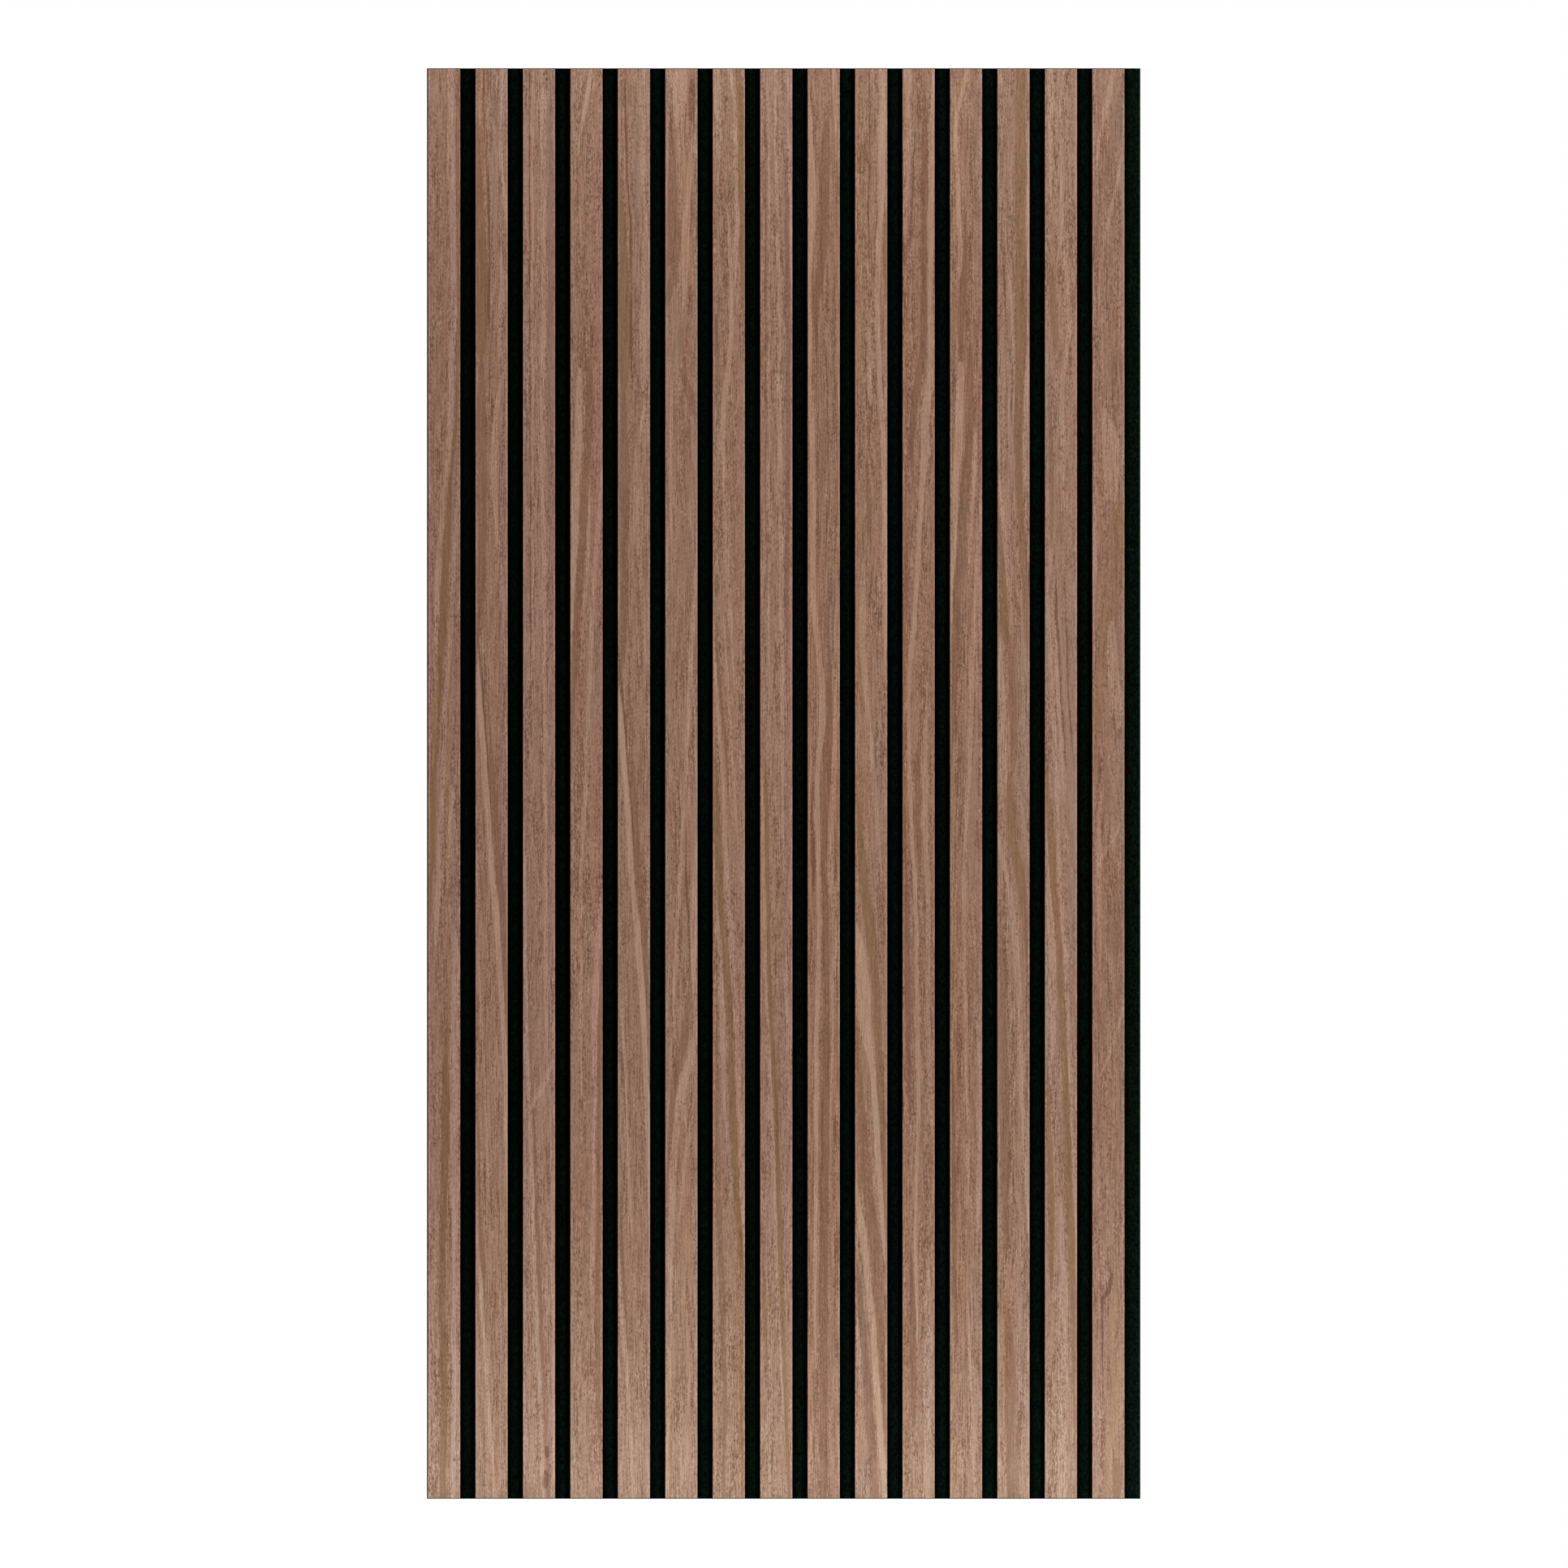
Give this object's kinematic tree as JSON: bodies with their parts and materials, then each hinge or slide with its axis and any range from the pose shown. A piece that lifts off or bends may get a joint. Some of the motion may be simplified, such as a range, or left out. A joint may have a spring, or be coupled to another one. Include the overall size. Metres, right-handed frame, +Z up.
{
  "type": "acoustic slat wall panel",
  "caption": "Upright wall panel: parallel walnut-veneered fibreboard slats on a black felt board, which absorbs sound through the grooves between them.",
  "frame": {"origin": "centre of the back face, the plane that lies on the wall", "axes": "+X across the panel towards the felt lip, +Z up along the slats, +Y into the wall; the slats face -Y"},
  "size_m": [0.6014, 0.021, 1.206],
  "materials": {
    "felt": "black needle-punched polyester felt board, matt and slightly fuzzy, cut edges",
    "black_fibreboard": "black-dyed medium-density fibreboard, sawn sides and ends, matt",
    "walnut_veneer": "sliced walnut veneer, straight to softly figured grain, matt lacquer, eased long edges",
    "staple_wire": "zinc-coated fine wire"
  },
  "bodies": {
    "root": {"felt_backing": "felt", "slat_core_01": "black_fibreboard", "slat_core_02": "black_fibreboard", "slat_core_03": "black_fibreboard", "slat_core_04": "black_fibreboard", "slat_core_05": "black_fibreboard", "slat_core_06": "black_fibreboard", "slat_core_07": "black_fibreboard", "slat_core_08": "black_fibreboard", "slat_core_09": "black_fibreboard", "slat_core_10": "black_fibreboard", "slat_core_11": "black_fibreboard", "slat_core_12": "black_fibreboard", "slat_core_13": "black_fibreboard", "slat_core_14": "black_fibreboard", "slat_core_15": "black_fibreboard", "slat_veneer_01": "walnut_veneer", "slat_veneer_02": "walnut_veneer", "slat_veneer_03": "walnut_veneer", "slat_veneer_04": "walnut_veneer", "slat_veneer_05": "walnut_veneer", "slat_veneer_06": "walnut_veneer", "slat_veneer_07": "walnut_veneer", "slat_veneer_08": "walnut_veneer", "slat_veneer_09": "walnut_veneer", "slat_veneer_10": "walnut_veneer", "slat_veneer_11": "walnut_veneer", "slat_veneer_12": "walnut_veneer", "slat_veneer_13": "walnut_veneer", "slat_veneer_14": "walnut_veneer", "slat_veneer_15": "walnut_veneer", "staples": "staple_wire"}
  },
  "joints": []
}
